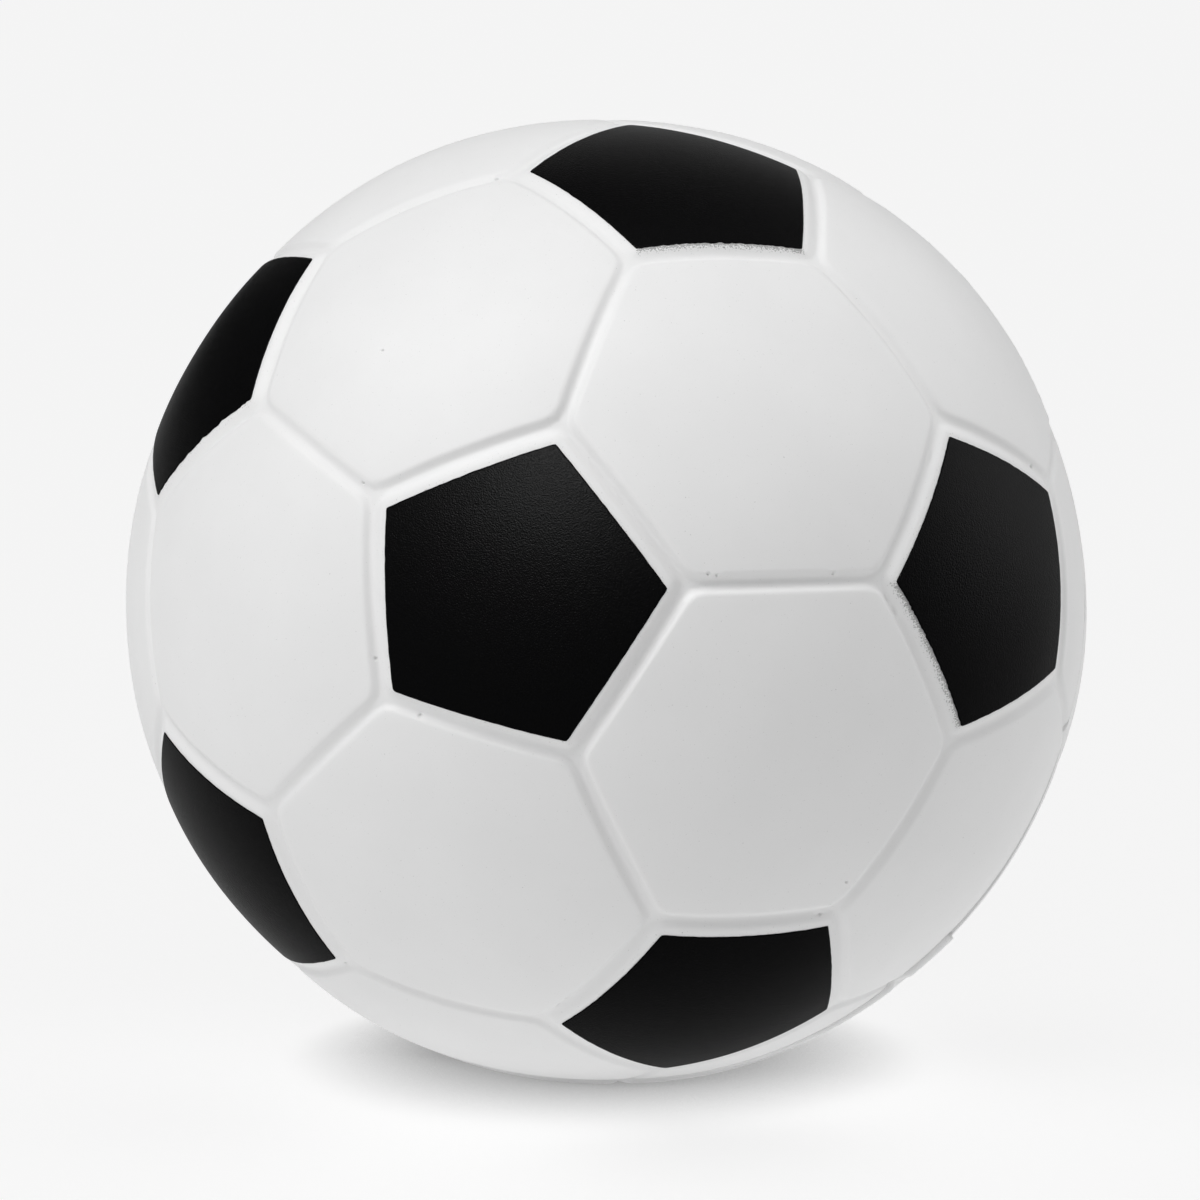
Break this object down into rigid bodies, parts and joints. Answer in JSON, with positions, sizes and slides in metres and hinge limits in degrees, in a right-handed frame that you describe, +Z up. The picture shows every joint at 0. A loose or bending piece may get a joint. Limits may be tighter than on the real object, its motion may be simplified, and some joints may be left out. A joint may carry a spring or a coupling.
{
  "type": "foam soccer ball",
  "caption": "Palm-sized moulded foam soccer ball with white hexagon and black pentagon panels outlined by soft grooves.",
  "frame": {"origin": "centre of the ball", "axes": "+Z up as the ball lies, -Y towards the viewer; the front half's middle pentagon faces -Y, turned 11.1 degrees towards -X and lifted 10.8 degrees"},
  "size_m": [0.0631, 0.0633, 0.0632],
  "materials": {
    "white_skin": "satin",
    "black_paint": "satin",
    "foam": "matte"
  },
  "bodies": {
    "root": {"foam_core": "foam", "front_skin": "white_skin", "rear_skin": "white_skin", "parting_flash": "white_skin", "front_pentagon_0": "black_paint", "front_pentagon_1": "black_paint", "front_pentagon_2": "black_paint", "front_pentagon_3": "black_paint", "front_pentagon_4": "black_paint", "front_pentagon_5": "black_paint", "rear_pentagon_0": "black_paint", "rear_pentagon_1": "black_paint", "rear_pentagon_2": "black_paint", "rear_pentagon_3": "black_paint", "rear_pentagon_4": "black_paint", "rear_pentagon_5": "black_paint"}
  },
  "joints": []
}
